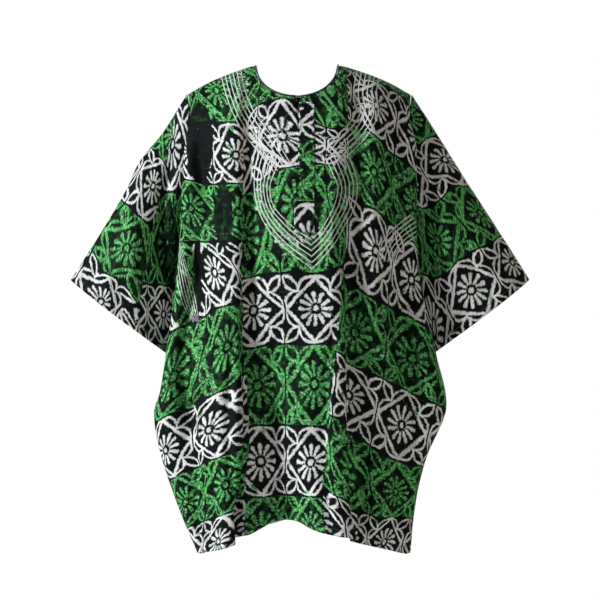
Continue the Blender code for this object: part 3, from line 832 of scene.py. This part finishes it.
def dyed(cotton, ink, is_green):
    """The colours of the print: uneven green, chalky white, specks where dye crept under the wax and fine
    cracks in it, with the pen's lines and the smears on top."""
    flecks, blend, smeared = cotton.flecks, cotton.blend, cotton.drawn("smeared")
    green = blend(flecks(22, 3.0, 0.6, shift=17).fade(0.38, 0.66), darker(GREEN, 0.36), GREEN)
    green = blend(flecks(210, 3.0, 0.7, shift=31).fade(0.48, 0.62), green, PALE_GREEN)
    white = blend(flecks(40, 3.0, 0.6, shift=19).fade(0.35, 0.60), darker(WHITE, 0.72), WHITE)
    bleed = flecks(34, 4.0, 0.7, shift=21).fade(0.62, 0.70) * (1 - is_green)
    light = blend(is_green.most(bleed), white, green)
    tinge = flecks(55, 4.0, 0.7, shift=23).fade(0.50, 0.78) * is_green
    ground = blend(tinge, GROUND, darker(GREEN, 0.20))
    cracks = cotton.make("ShaderNodeTexVoronoi", voronoi_dimensions="2D", feature="DISTANCE_TO_EDGE")
    cotton.feed(cracks, Vector=cotton.mapped("cloth"), Scale=95)
    cracked = Wire(cracks.outputs["Distance"]).fade(0.05, 0.0) * flecks(30, 2.0, shift=25).fade(0.50, 0.62)
    pepper = flecks(330, 4.0, 0.75, shift=33).fade(0.535, 0.62) * (is_green * 0.62 + 0.16)
    specks = flecks(420, 2.0, shift=35).fade(0.77, 0.80)
    printed = blend((ink * (1 - cracked * 0.55) * (1 - pepper)).most(specks * 0.7), ground, light)
    smears = (flecks(150, 3.0, 0.65, shift=37) + smeared * 0.20).fade(0.78, 0.82) * smeared
    return blend((pen_lines(cotton) * 0.92).most(smears * 0.85), printed, darker(WHITE, 0.95))


def wax_print(name):
    """Cotton printed with wax resist: rows of tiles on a dark ground, by turns left white and dyed green."""
    cotton = Finish(name)
    flecks = cotton.flecks

    # where this point lies in its tile, nudged so that no two tiles are drawn alike
    column, row = cotton.split(cotton.mapped("tiles"))
    column = column + (flecks(22, 1.0) - 0.5) * 0.060 + (flecks(110, 1.0, shift=3) - 0.5) * 0.022
    row = row + (flecks(20, 1.0, shift=7) - 0.5) * 0.055 + (flecks(110, 1.0, shift=9) - 0.5) * 0.018
    across, down = abs((column - column.nearest()) * 2), abs((row - row.nearest()) * 2)
    row_pair = row.nearest() / 2
    is_green = abs(row_pair - row_pair.nearest()) * 2
    # ink taken out where marked: partly missed printing, partly painted shade in a shaded band of the front
    # and in the right sleeve's fold
    depth = wax_lines(cotton, across, down, is_green) - cotton.drawn("bare_and_painted_shade") * 0.6
    ink = depth.fade(-0.010, 0.018)

    # topstitching: short dark-green stitches, beyond which the doubled cloth stands a little higher
    over, along = cotton.split(cotton.mapped("cloth"))
    to_stitching = cotton.drawn("to_stitching")
    stitch_row = (STITCH_HALF_WIDTH - abs(to_stitching)).fade(0.0, 0.0003)
    beat = (over / STITCH_LENGTH).math("FRACT")
    thread = stitch_row * (0.36 - abs(beat - 0.5)).fade(-0.04, 0.04)
    stitched = cotton.blend(thread * 0.8, dyed(cotton, ink, is_green), THREAD)

    # plain weave, seen close to: threads over and under each other
    turns = 2 * math.pi / WEAVE_REPEAT
    weave = (over * turns).math("SINE") * (along * turns).math("SINE")
    woven = cotton.blend((weave * 0.5 + 0.5) * 0.16, stitched, (0.0, 0.0, 0.0))
    rise = weave * 0.00005 + ink * 0.00005 + flecks(300, 3.0, shift=27) * 0.00022 + thread * 0.0003
    cotton.relief(rise + to_stitching.fade(0.0012, -0.0012) * 0.0005, 1.0)
    dull = ink * 0.12 + flecks(18, 2.0, shift=29) * 0.12 + 0.54
    cotton.feed(cotton.shader, Base_Color=woven, Roughness=dull, Specular_IOR_Level=0.04)
    cotton.feed(cotton.shader, Sheen_Weight=0.004, Sheen_Roughness=0.32)
    return cotton.material


PRINTED_COTTON = wax_print("printed cotton")


def cloth_sheet(name, grid, outward, cloth, tiles, marks, choice=None, slit=None, thickness=CLOTH):
    """A thin sheet of cloth under a grid of outer points, with two maps: where each point lies on the flat
    cloth, and its column and row in the print. tiles lists maps of tile places, and choice picks one for each
    face. slit is the column to cut open and the points of the cut's other side."""
    columns, rows = grid.shape[:2]
    number = np.arange(columns * rows).reshape(columns, rows)
    verts = [tuple(p) for p in grid.reshape(-1, 3)]
    source = list(range(columns * rows))
    pairs = list(zip(number, number[1:]))
    if slit:
        middle, second = slit
        copied = number[middle].copy()
        copied[: len(second)] = len(verts) + np.arange(len(second))
        verts += [tuple(p) for p in second]
        source += list(number[middle][: len(second)])
        pairs[middle] = (copied, pairs[middle][1])
    faces = []
    for this, after in pairs:
        for r in range(rows - 1):
            quad = (this[r], this[r + 1], after[r + 1], after[r])
            faces.append(quad if outward > 0 else quad[::-1])
    mesh = bpy.data.meshes.new(name)
    mesh.from_pydata(verts, [], faces)
    source = np.array(source)
    corners = source[np.array(faces).ravel()]
    write(mesh.uv_layers.new(name="cloth"), "uv", cloth.reshape(-1, 2)[corners])
    if choice is None:
        choice = np.zeros(len(faces), int)
    printed = np.array([places.reshape(-1, 2)[corners] for places in tiles])
    printed = printed[np.repeat(choice.ravel(), 4), np.arange(len(corners))]
    write(mesh.uv_layers.new(name="tiles"), "uv", printed)
    for key, values in marks.items():
        write(mesh.attributes.new(key, "FLOAT", "POINT"), "value", values.ravel()[source])
    mesh.shade_smooth()
    sheet = add(name, mesh)
    sheet.data.materials.append(PRINTED_COTTON)
    wall = sheet.modifiers.new("thickness", "SOLIDIFY")
    wall.thickness = thickness
    wall.offset = -1
    return sheet


front_cloth = cloth_places(front_grid, front_s, "front", FRONT_FOLDS)
cuts = [round(cut * FRONT_COLUMNS_PER_FOLD) for cut in FRONT_CUTS]
starts, ends = (0, cuts[0] - CUT_OVERLAP[0], cuts[1] - CUT_OVERLAP[1]), (*cuts, len(front_grid))
front_tiles = [
    tile_places(front_grid, front_cloth, tiles, start, end)
    for tiles, start, end in zip(FRONT_TILES.values(), starts, ends)
]
front_tiles.append(front_tiles[0] + (0, 1))  # for the green patch: the right part, with its rows one up

# which of these parts each face shows
x, z = as_seen(front_grid)
across, up = face_middles(x), face_middles(z)
front_choice = np.zeros(across.shape, int)
for part, (cut, drift) in enumerate(zip(cuts, CUT_DRIFT), 1):
    edge = x[cut] + np.interp(z[cut], CUT_HEIGHTS, drift)
    within_room = (np.arange(len(across)) > cut - CUT_ROOM)[:, None]
    front_choice[(across > (edge[1:] + edge[:-1]) / 2) & within_room] = part
front_choice[(from_patch(GREEN_PATCH, across, up) < 1) & (front_choice == 0)] = len(front_tiles) - 1

front_marks = {key: band_place(x, z, bands) for key, bands in NECK_BANDS.items()}
front_marks["has_lines"] = np.ones(x.shape)
# ink taken out: missed printing, and painted shade in one shaded band beside the fold's ridge
front_marks["bare_and_painted_shade"] = np.max([soft_patch(patch, x, z) for patch in BARE_AND_SHADE_PATCHES], axis=0)
front_marks["smeared"] = np.max([soft_patch(patch, x, z) for patch in SMEARS], axis=0)
front_marks["to_stitching"] = above_hem_stitching(front_cloth)

# the slit: its column opens to both sides, and the cloth beside it gives way
middle = int(np.argmin(abs(front_grid[:, 0, 0] - SLIT_X)))
slit_z = front_grid[middle, :, 2]
in_slit = slit_z >= SLIT_BOTTOM
notch = ease((slit_z - SLIT_NOTCH_BOTTOM) / (slit_z[0] - SLIT_NOTCH_BOTTOM))
half_slit = (SLIT_WIDTH + (SLIT_TOP_WIDTH - SLIT_WIDTH) * notch) / 2
from_slit = front_grid[..., 0] - SLIT_X
beside_slit = in_slit * half_slit * np.clip(1 - abs(from_slit) / SLIT_PULL, 0, 1)
front_grid[..., 0] += beside_slit * np.sign(from_slit) * (np.arange(len(front_grid)) != middle)[:, None]
slit_left_side = front_grid[middle][in_slit].copy()
slit_left_side[:, 0] = SLIT_X + half_slit[in_slit]
front_grid[middle, in_slit, 0] = SLIT_X - half_slit[in_slit]

front = cloth_sheet(
    "dashiki_front",
    front_grid,
    1,
    front_cloth,
    front_tiles,
    front_marks,
    choice=front_choice,
    slit=(middle, slit_left_side),
)
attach(front, "root")
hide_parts("front_panel")

# ---------------------------------------------------------------- back panel
# The back is a second cut of the same cotton, with a shallower neck and no slit. It falls from the shoulder
# seams in soft vertical folds.
BACK_FOLDS = [
    Fold("side_swell", -0.164, 0.004, -0.196, 0.006, -0.150, 0.010, -0.888),
    Fold("right_hollow", -0.128, -0.008, -0.142, -0.014, -0.120, -0.016, -0.880),
    Fold("right_swell", -0.086, 0.006, -0.094, 0.014, -0.088, 0.022, -0.872),
    Fold("inner_hollow", -0.042, -0.004, -0.048, -0.012, -0.050, -0.016, -0.858),
    Fold("middle", 0.002, 0.004, 0.000, 0.010, -0.004, 0.016, -0.850),
    Fold("left_inner", 0.044, -0.004, 0.050, -0.010, 0.046, -0.014, -0.860),
    Fold("left_swell", 0.088, 0.006, 0.100, 0.014, 0.092, 0.020, -0.874),
    Fold("left_hollow", 0.132, -0.008, 0.150, -0.012, 0.128, -0.012, -0.882),
    Fold("side_fall", 0.168, 0.004, 0.200, 0.006, 0.166, 0.008, -0.888),
]
BACK_CREASES = [
    Crease(-0.060, -0.200, -0.070, -0.520, 0.014, 0.0035),
    Crease(0.066, -0.240, 0.074, -0.560, 0.014, 0.0035),
    Crease(-0.020, -0.420, -0.024, -0.800, 0.010, -0.0030),
    Crease(0.022, -0.560, 0.024, -0.892, 0.009, 0.0035),
    Crease(-0.150, -0.340, -0.220, -0.560, 0.013, 0.0045),
    Crease(0.150, -0.330, 0.224, -0.560, 0.013, 0.0045),
    Crease(-0.176, -0.420, -0.206, -0.700, 0.010, -0.0050),
    Crease(0.176, -0.420, 0.206, -0.700, 0.010, -0.0050),
    Crease(-0.120, -0.600, -0.116, -0.892, 0.009, 0.0040),
    Crease(0.120, -0.620, 0.114, -0.892, 0.009, 0.0040),
    Crease(-0.160, -0.640, -0.146, -0.892, 0.008, -0.0045),
    Crease(0.164, -0.660, 0.150, -0.892, 0.008, -0.0045),
]
BACK_COLUMNS_PER_FOLD = 12
BACK_TILES_SHIFT = (0.5, 0.65)  # where the back's cut lies in the print, in tiles

back_grid, back_s = panel_grid("back", BACK_FOLDS, BACK_COLUMNS_PER_FOLD)
back_grid = crumple(back_grid, BACK_CREASES, -1, seed=11.0)
back_cloth = cloth_places(back_grid, back_s, "back", BACK_FOLDS)
back_tiles = back_cloth / (TILE_WIDTH, TILE_HEIGHT) + BACK_TILES_SHIFT
back_marks = {"to_stitching": above_hem_stitching(back_cloth)}
back = cloth_sheet("dashiki_back", back_grid, -1, back_cloth, [back_tiles], back_marks)
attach(back, "root")
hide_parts("back_panel")

# ---------------------------------------------------------------- sleeves
# Each sleeve is one wide, straight cut of the printed cotton, folded over the shoulder, sewn into the armhole
# and closed under the arm. Its hem is turned up once.
SLEEVES = ((RIGHT, "dashiki_sleeve_right", "sleeve_right"), (LEFT, "dashiki_sleeve_left", "sleeve_left"))
SLEEVE_FULLNESS = 0.012
SLEEVE_RINGS = 58
SHOULDER_ROOM = 0.00195  # by which the sleeve's edge stands off further over the shoulder
CUFF_TIP = {RIGHT: (0.422, -0.396), LEFT: (0.427, -0.395)}  # distance out, and height
CUFF_LOWER_CORNER = {RIGHT: (0.236, -0.538), LEFT: (0.236, -0.541)}
# Round the cuff's opening: the share of the way to its tip, and how far in front of the middle.
Cuff = namedtuple("Cuff", "name along depth")
CUFF = [
    Cuff("lower_corner", 0.00, 0.000),
    Cuff("front_low", 0.18, 0.024),
    Cuff("front_mid", 0.50, 0.048),
    Cuff("front_top", 0.82, 0.040),
    Cuff("tip", 1.00, 0.000),
    Cuff("back_top", 0.82, -0.044),
    Cuff("back_mid", 0.50, -0.050),
    Cuff("back_low", 0.18, -0.025),
]
SLEEVE_TILES = {
    RIGHT: [
        [
            Tile(0, 0, -0.272, -0.224),
            Tile(0.5, 0, -0.248, -0.257),
            Tile(0, -0.5, -0.250, -0.174),
            Tile(-0.5, 0, -0.294, -0.192),
            Tile(0, 0.5, -0.288, -0.283),
            Tile(0, 1, -0.318, -0.337),
            Tile(0.5, 1, -0.274, -0.385),
            Tile(-0.5, 1, -0.360, -0.298),
            Tile(0, 1.5, -0.349, -0.390),
            Tile(0, 2, -0.368, -0.437),
            Tile(0.5, 2, -0.335, -0.451),
        ],
        [
            Tile(1, 0, -0.234, -0.146),
            Tile(1, 1, -0.244, -0.326),
            Tile(1.5, 1, -0.216, -0.326),
            Tile(1, 1.5, -0.249, -0.404),
            Tile(0.5, 1.5, -0.280, -0.402),
            Tile(1, 2, -0.250, -0.459),
            Tile(0.5, 2, -0.281, -0.455),
            Tile(1.5, 2, -0.220, -0.462),
            Tile(1, 2.5, -0.250, -0.515),
        ],
    ],
    LEFT: [
        [
            Tile(0, 2, 0.318, -0.414),
            Tile(1, 2, 0.394, -0.363),
            Tile(-1, 2, 0.252, -0.483),
            Tile(0, 1, 0.255, -0.322),
            Tile(1, 1, 0.335, -0.272),
            Tile(1, 0, 0.268, -0.174),
        ]
    ],
}
SLEEVE_FOLD = (-0.240, -0.160, -0.290, -0.432)  # ends of the right sleeve's long fold, which hides cloth
FOLD_SHADE_PATCH = Patch(-0.240, -0.332, 0.012, 0.066)  # painted shade: the print's ink is thinned here to darken the cloth in that fold
FOLD_SHADE_STRENGTH = 0.09
SLEEVE_CREASES = {
    RIGHT: [
        Crease(-0.266, -0.120, -0.292, -0.500, 0.018, 0.0120),
        Crease(-0.234, -0.170, -0.241, -0.410, 0.012, -0.0150),
        Crease(-0.300, -0.220, -0.345, -0.440, 0.016, 0.0030),
        Crease(-0.330, -0.300, -0.390, -0.420, 0.014, -0.0030),
    ],
    LEFT: [
        Crease(0.240, -0.220, 0.262, -0.480, 0.014, -0.0055),
        Crease(0.268, -0.200, 0.310, -0.460, 0.016, 0.0045),
        Crease(0.300, -0.300, 0.352, -0.430, 0.012, -0.0035),
        Crease(0.330, -0.270, 0.392, -0.400, 0.014, 0.0030),
    ],
}


def sleeve_grid(side):
    """Points (column, row, xyz) of a sleeve: columns round it from the underarm over the front, and rows from
    the armhole to the cuff."""
    rows = SHOULDER_ROWS + CHEST_ROWS + 1
    halves = []
    for grid, sign in ((front_grid, -1), (back_grid, 1)):
        edge = grid[0 if side == RIGHT else -1, :rows]
        over_shoulder = ease((edge[:, 2] - SHOULDER_FOOT) / (SEAM[0].z - SHOULDER_FOOT))
        room = SEAM_GAP + SHOULDER_ROOM * over_shoulder
        halves.append(edge + np.stack([side * room, np.full(rows, sign * SEAM_GAP), 0 * room], axis=-1))
    ahead, behind = halves[0][::-1], halves[1]
    underarm, top = (ahead[0] + behind[-1]) / 2, (ahead[-1] + behind[0]) / 2
    start = np.concatenate([[underarm], ahead[1:-1], [top], behind[1:-1], [underarm]])
    around = np.zeros(len(start))
    for first, last, low in ((0, rows - 1, 0.0), (rows - 1, len(start) - 1, 0.5)):
        length = run_along(start[first : last + 1], 0)
        around[first : last + 1] = low + 0.5 * length / length[-1]
    loop = np.array([(row.along, row.depth) for row in CUFF])
    loop = np.concatenate([loop[-1:], loop, loop[:2]])
    place = follow(np.broadcast_to(loop, (len(around), *loop.shape)), 1 + around * len(CUFF))
    tip, lower = np.array(CUFF_TIP[side]), np.array(CUFF_LOWER_CORNER[side])
    end = lower + (tip - lower) * place[:, [0]]
    end = np.stack([side * end[:, 0], -place[:, 1], end[:, 1]], axis=-1)
    along = np.linspace(0, 1, SLEEVE_RINGS + 1)[None, :, None]
    grid = start[:, None] * (1 - along) + end[:, None] * along
    swell = np.sin(math.pi * along[..., 0]) ** 2 * np.sin(2 * math.pi * around)[:, None]
    grid[..., 1] -= SLEEVE_FULLNESS * swell
    return grid


for side, name, node in SLEEVES:
    grid = sleeve_grid(side)
    grid = crumple(grid, SLEEVE_CREASES[side], side, seed=20.0 + side)
    top = len(grid) // 2
    cloth = np.stack([run_along(grid, 0), run_along(grid, 1)], axis=-1)
    cloth[..., 0] -= cloth[[top], :, 0]

    # the outer part follows the cloth, the inner one is placed as it shows, and the back runs on straight
    x, z = as_seen(grid)
    outer, *inner = SLEEVE_TILES[side]
    maps = [tile_places(grid, cloth, outer, 0, top + 1)]
    for tiles in inner:
        maps.append(spread(tiles, [(tile.x, tile.z) for tile in tiles], np.stack([x, z], axis=-1)))
    behind = (cloth[top + 1 :] - cloth[[top]]) * (side, 1) / (TILE_WIDTH, TILE_HEIGHT)
    for places in maps:
        places[top + 1 :] = places[[top]] + behind
    _, aside = beside(face_middles(grid[..., 0]), face_middles(grid[..., 2]), *SLEEVE_FOLD)
    choice = ((aside < 0) & (side == RIGHT)).astype(int)

    # the print's ink thinned in the right sleeve's fold, as painted shade
    marks = {"to_stitching": above_hem_stitching(cloth), "bare_and_painted_shade": FOLD_SHADE_STRENGTH * soft_patch(FOLD_SHADE_PATCH, x, z)}
    sleeve = cloth_sheet(name, grid, side, cloth, maps, marks, choice=choice)
    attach(sleeve, "root")
    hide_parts(node)

# ---------------------------------------------------------------- placket
# A narrow strip of the print, cut so that a white tile shows at its foot, and topstitched down beside the
# slit and below it. Its foot is wider to the wearer's right.
PLACKET_RIGHT, PLACKET_LEFT = 0.0012, 0.0275
PLACKET_TOP, PLACKET_BOTTOM = -0.0780, -0.3130
PLACKET_FOOT, PLACKET_FOOT_RIGHT = -0.2580, -0.0083  # from this height down the strip is wider
PLACKET_STEP = 0.0030  # height in which it widens
PLACKET_THICKNESS = 0.0007
PLACKET_STITCHING = 0.0024  # from its edges
PLACKET_COLUMNS, PLACKET_ROWS = 19, 100
FLOWER_X = 0.0184  # middle of the tile at the foot
LEAF_SHIFT = 0.38  # how far aside, in tiles, the upper part is cut from the print
FOOT_TILE_ROW = 1.5  # where the strip starts to widen, in the print
GREEN_HEIGHT = 0.111  # of a tile above the foot

strip_z = np.linspace(PLACKET_TOP, PLACKET_BOTTOM, PLACKET_ROWS)
widened = np.clip((PLACKET_FOOT + PLACKET_STEP - strip_z) / PLACKET_STEP, 0, 1)
strip_right = PLACKET_RIGHT + (PLACKET_FOOT_RIGHT - PLACKET_RIGHT) * widened
under_strip = front_grid[middle - 30 : middle + 40]
placket_grid = np.empty((PLACKET_COLUMNS, PLACKET_ROWS, 3))
for r, z in enumerate(strip_z):
    across, depth = ([np.interp(-z, -column[:, 2], column[:, k]) for column in under_strip] for k in (0, 1))
    strip_x = np.linspace(strip_right[r], PLACKET_LEFT, PLACKET_COLUMNS)
    strip_y = np.interp(strip_x, across, depth)
    placket_grid[:, r] = np.stack([strip_x, strip_y, np.full(PLACKET_COLUMNS, z)], axis=-1)
flat_x, flat_z = placket_grid[..., 0].copy(), placket_grid[..., 2].copy()
placket_grid += facing(placket_grid, 1) * (PLACKET_THICKNESS + 2 * SEAM_GAP)
placket_cloth = np.stack([flat_x, -flat_z], axis=-1)
in_foot = flat_z < PLACKET_FOOT + PLACKET_STEP
placket_column = (flat_x - FLOWER_X) / TILE_WIDTH + np.where(in_foot, 0, LEAF_SHIFT)
placket_row = FOOT_TILE_ROW + (PLACKET_FOOT - flat_z) / np.where(in_foot, TILE_HEIGHT, GREEN_HEIGHT)
placket_tiles = np.stack([placket_column, placket_row], axis=-1)
from_side = np.minimum(flat_x - strip_right, PLACKET_LEFT - flat_x)
from_end = np.minimum(PLACKET_TOP - flat_z, flat_z - PLACKET_BOTTOM)
placket_marks = {"to_stitching": np.minimum(from_side, from_end) - PLACKET_STITCHING}
placket = cloth_sheet(
    "dashiki_placket",
    placket_grid,
    1,
    placket_cloth,
    [placket_tiles],
    placket_marks,
    thickness=PLACKET_THICKNESS,
)
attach(placket, "root")
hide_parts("placket")

# ---------------------------------------------------------------- neck binding
# A bias strip of plain black-dyed cotton, folded over the cut edge of the neck from one side of the slit
# round to the other, and stitched through.
BINDING_RADIUS = 0.0014
BINDING_SIDES = 12
BLACK, WORN_BLACK = (0.006, 0.010, 0.009, 1), (0.022, 0.032, 0.028, 1)


def neck_edge(grid, outward):
    inside = abs(grid[:, 0, 0] - NECK_X) < NECK_HALF_WIDTH + 1e-5
    return grid[inside, 0], facing(grid, outward)[inside, 0]


ahead, ahead_facing = neck_edge(front_grid, 1)
behind, behind_facing = neck_edge(back_grid, -1)
slit_at = int(np.argmin(abs(ahead[:, 0] - SLIT_X)))


def round_neck(first, front, back):
    """From the slit's left side over the wearer's left shoulder, along the back, to the slit's right side."""
    return np.concatenate([[first], front[slit_at + 1 :], back[-2:0:-1], front[: slit_at + 1]])


line = round_neck(slit_left_side[0], ahead, behind)
faces_out = round_neck(ahead_facing[slit_at], ahead_facing, behind_facing)
into_hole = np.cross(np.gradient(line, axis=0), faces_out)
into_hole /= np.linalg.norm(into_hole, axis=-1, keepdims=True)
into_hole *= np.where(np.sum(into_hole * (np.array([NECK_X, 0, 0]) - line), axis=-1) < 0, -1, 1)[:, None]
line = line + into_hole * (2 * SEAM_GAP + BINDING_RADIUS) - faces_out * CLOTH / 2
turn = np.arange(BINDING_SIDES) * (2 * math.pi / BINDING_SIDES)
round_strip = into_hole[:, None] * np.cos(turn)[:, None] + faces_out[:, None] * np.sin(turn)[:, None]
binding_grid = line[:, None] + round_strip * BINDING_RADIUS
number = np.arange(len(line) * BINDING_SIDES).reshape(len(line), BINDING_SIDES)
faces = []
for this, after in zip(number, number[1:]):
    faces += zip(this, np.roll(this, -1), np.roll(after, -1), after)
faces += [tuple(number[0][::-1]), tuple(number[-1])]
mesh = bpy.data.meshes.new("dashiki_neck_binding")
mesh.from_pydata([tuple(p) for p in binding_grid.reshape(-1, 3)], [], faces)
round_binding = np.tile(turn * BINDING_RADIUS, len(line))
places = np.stack([np.repeat(run_along(line, 0), BINDING_SIDES), round_binding], axis=-1)
corners = np.array([loop.vertex_index for loop in mesh.loops])
write(mesh.uv_layers.new(name="cloth"), "uv", places[corners])
mesh.shade_smooth()
binding = add("dashiki_neck_binding", mesh)

plain = Finish("plain black cotton")
patches = plain.make("ShaderNodeTexNoise")
plain.feed(patches, Vector=plain.mapped("cloth"), Scale=160)
dye = plain.make("ShaderNodeValToRGB")
dye.color_ramp.elements[0].color, dye.color_ramp.elements[1].color = BLACK, WORN_BLACK
plain.feed(dye, Fac=patches.outputs["Fac"])
plain.feed(plain.shader, Base_Color=dye.outputs[0], Roughness=0.7, Sheen_Weight=0.08)
threads = plain.make("ShaderNodeTexWave", wave_type="BANDS", bands_direction="DIAGONAL")
plain.feed(threads, Vector=plain.mapped("cloth"), Scale=320)
plain.relief(threads.outputs["Fac"], 0.00012)
mesh.materials.append(plain.material)
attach(binding, "root")
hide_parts("neck_binding")

# ---------------------------------------------------------------- floor, light and camera
# A pale studio: the floor is where a standing wearer's would be, 1.4 m under the shoulders. Behind the shirt
# the room is white, while what lights it is dimmer and warm.
FLOOR_Z = -1.4
ROOM_LIGHT, ROOM_COLOUR = 0.26, (1.0, 0.95, 0.88, 1)
AIM = (0.0, 0.0, -0.45)
SENSOR = 36
VIEW_WIDTH = 1.11  # metres across, on the level of the side seams

bpy.ops.mesh.primitive_plane_add(size=3, location=(0, 0, FLOOR_Z))
floor = bpy.context.object
floor.name = "studio_floor"
pale = Finish("pale floor")
pale.feed(pale.shader, Base_Color=(0.86, 0.86, 0.86, 1), Roughness=0.9)
floor.data.materials.append(pale.material)

world = bpy.data.worlds.new("studio")
bpy.context.scene.world = world
world.use_nodes = True
nodes, links = world.node_tree.nodes, world.node_tree.links
nodes["Background"].inputs["Color"].default_value = ROOM_COLOUR
nodes["Background"].inputs["Strength"].default_value = ROOM_LIGHT
seen = nodes.new("ShaderNodeBackground")
seen.inputs["Color"].default_value = (1.0, 1.0, 1.0, 1)
rays = nodes.new("ShaderNodeLightPath")
chooser = nodes.new("ShaderNodeMixShader")
links.new(rays.outputs["Is Camera Ray"], chooser.inputs[0])
links.new(nodes["Background"].outputs[0], chooser.inputs[1])
links.new(seen.outputs[0], chooser.inputs[2])
links.new(chooser.outputs[0], nodes["World Output"].inputs[0])


def soft_light(name, place, size, power, colour):
    lamp = bpy.data.lights.new(name, "AREA")
    lamp.shape = "DISK"
    lamp.size, lamp.energy, lamp.color = size, power, colour
    light = add(name, lamp)
    light.location = place
    light.rotation_euler = (Vector(AIM) - Vector(place)).to_track_quat("-Z", "Y").to_euler()


soft_light("key light", (-5.6, -2.5, 1.6), 1.4, 790, (0.92, 0.97, 1.0))
soft_light("fill light", (2.8, -2.6, 0.3), 2.0, 34, (1.0, 0.93, 0.82))
soft_light("back light", (1.8, 3.4, 0.9), 1.6, 130, (1.0, 0.99, 0.97))
bpy.context.scene.view_settings.view_transform = "Standard"

lens = bpy.data.cameras.new("camera")
lens.sensor_width = SENSOR
lens.lens = SENSOR * -CAMERA[1] / VIEW_WIDTH
camera = add("camera", lens)
camera.location = CAMERA
camera.rotation_euler = (math.pi / 2, 0, 0)
bpy.context.scene.camera = camera
